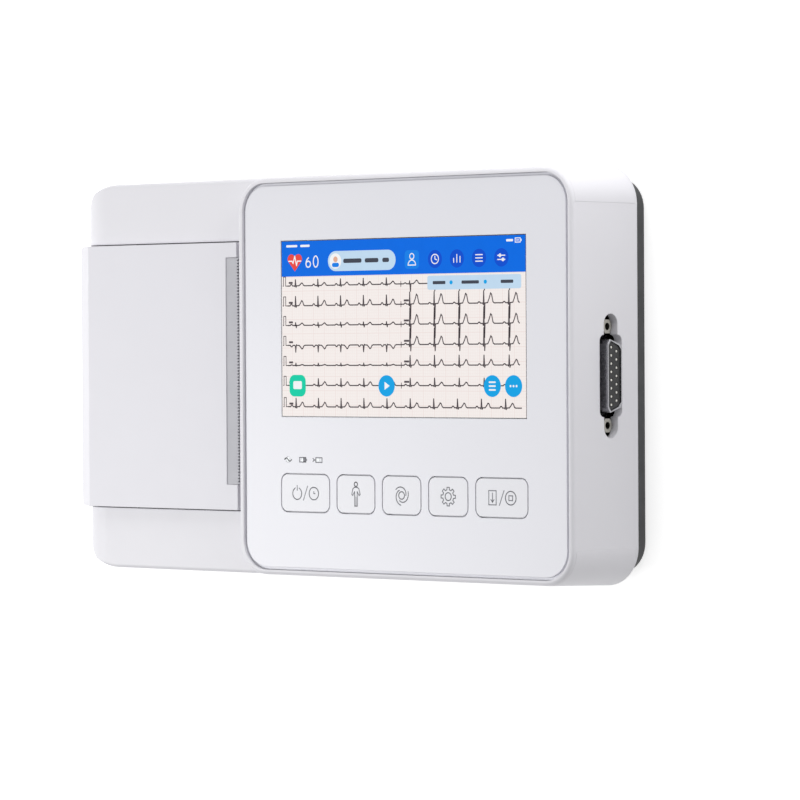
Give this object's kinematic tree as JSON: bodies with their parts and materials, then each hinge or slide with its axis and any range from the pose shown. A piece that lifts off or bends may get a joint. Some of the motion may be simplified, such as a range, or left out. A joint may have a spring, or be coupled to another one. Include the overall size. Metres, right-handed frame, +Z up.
{
  "type": "ecg machine",
  "caption": "Flat desktop electrocardiograph with a raised touch screen panel, key row, strip printer under a hinged paper door and a side lead socket.",
  "frame": {"origin": "middle of the footprint, at the height of the surface the feet stand on", "axes": "+Z up out of the panel, +X towards the lead socket, +Y towards the rear with the mains inlet"},
  "size_m": [0.2452, 0.143, 0.0463],
  "materials": {
    "white_plastic": "fine satin moulded plastic",
    "dark_plastic": "fine textured moulded plastic",
    "panel_film": "smooth printed panel film",
    "key_plastic": "smooth moulded keys with printed signs",
    "screen_glass": "clear touch glass over a lit picture",
    "clear_plastic": "clear light guides",
    "grey_plastic": "grey moulded plastic",
    "black_plastic": "black connector plastic",
    "bright_steel": "plated steel",
    "alloy": "extruded aluminium",
    "brass": "turned brass",
    "rubber": "black rubber",
    "board": "green circuit board",
    "battery_wrap": "blue shrink wrap",
    "ceramic": "glazed ceramic",
    "paper": "coated recording paper",
    "card": "wound cardboard"
  },
  "bodies": {
    "casing": {"upper_case": "white_plastic", "bottom_cover": "dark_plastic", "battery_cover": "dark_plastic", "rubber_feet": "rubber", "case_screws": "bright_steel", "cover_screws": "bright_steel", "front_overlay": "panel_film", "touch_glass": "screen_glass", "display_module": "bright_steel", "status_lenses": "clear_plastic", "key_board": "board", "main_board": "board", "power_board": "board", "battery_pack": "battery_wrap", "speaker": "black_plastic", "socket_shell": "bright_steel", "socket_insert": "black_plastic", "jack_screws": "bright_steel", "mains_inlet": "black_plastic", "inlet_blades": "bright_steel", "earth_stud": "brass", "usb_socket": "bright_steel", "network_socket": "black_plastic", "printer_chassis": "grey_plastic", "print_head": "ceramic", "head_heat_sink": "alloy", "head_springs": "bright_steel", "stepper_motor": "bright_steel", "idler_axle": "bright_steel", "hinge_pin": "bright_steel"},
    "power_key": {"power_key": "key_plastic"},
    "patient_key": {"patient_key": "key_plastic"},
    "rhythm_key": {"rhythm_key": "key_plastic"},
    "menu_key": {"menu_key": "key_plastic"},
    "print_key": {"print_key": "key_plastic"},
    "paper_door": {"paper_door": "white_plastic", "tear_strip": "grey_plastic", "platen_bushes": "brass"},
    "platen": {"platen_shaft": "bright_steel", "platen_rubber": "rubber", "platen_gear": "grey_plastic"},
    "motor_rotor": {"motor_pinion": "brass"},
    "idler": {"idler_gear": "grey_plastic"},
    "paper_supply": {"paper_roll": "paper", "roll_core": "card", "roll_spindle": "grey_plastic"}
  },
  "joints": [
    {"name": "power_key_press", "type": "slide", "parent": "casing", "child": "power_key", "axis": [0, 0, -1], "range_m": [0, 0.0008], "stiffness_N_per_m": 600},
    {"name": "patient_key_press", "type": "slide", "parent": "casing", "child": "patient_key", "axis": [0, 0, -1], "range_m": [0, 0.0008], "stiffness_N_per_m": 600},
    {"name": "rhythm_key_press", "type": "slide", "parent": "casing", "child": "rhythm_key", "axis": [0, 0, -1], "range_m": [0, 0.0008], "stiffness_N_per_m": 600},
    {"name": "menu_key_press", "type": "slide", "parent": "casing", "child": "menu_key", "axis": [0, 0, -1], "range_m": [0, 0.0008], "stiffness_N_per_m": 600},
    {"name": "print_key_press", "type": "slide", "parent": "casing", "child": "print_key", "axis": [0, 0, -1], "range_m": [0, 0.0008], "stiffness_N_per_m": 600},
    {"name": "door_swing", "type": "hinge", "parent": "casing", "child": "paper_door", "pos_m": [-0.1199, 0, 0.018], "axis": [0, -1, 0], "range_deg": [0, 95]},
    {"name": "motor_spin", "type": "hinge", "parent": "casing", "child": "motor_rotor", "pos_m": [-0.02815, 0, 0.01695], "axis": [0, -1, 0], "continuous": true},
    {"name": "idler_spin", "type": "hinge", "parent": "casing", "child": "idler", "pos_m": [-0.03938, 0, 0.01893], "axis": [0, -1, 0], "continuous": true},
    {"name": "platen_spin", "type": "hinge", "parent": "paper_door", "child": "platen", "pos_m": [-0.0419, 0, 0.0325], "axis": [0, -1, 0], "continuous": true},
    {"name": "paper_roll_spin", "type": "hinge", "parent": "casing", "child": "paper_supply", "pos_m": [-0.0964, 0, 0.022], "axis": [0, -1, 0], "continuous": true}
  ],
  "couplings": [
    {"joint": "idler_spin", "follows": "motor_spin", "ratio": -0.35714},
    {"joint": "platen_spin", "follows": "motor_spin", "ratio": 0.55556}
  ]
}
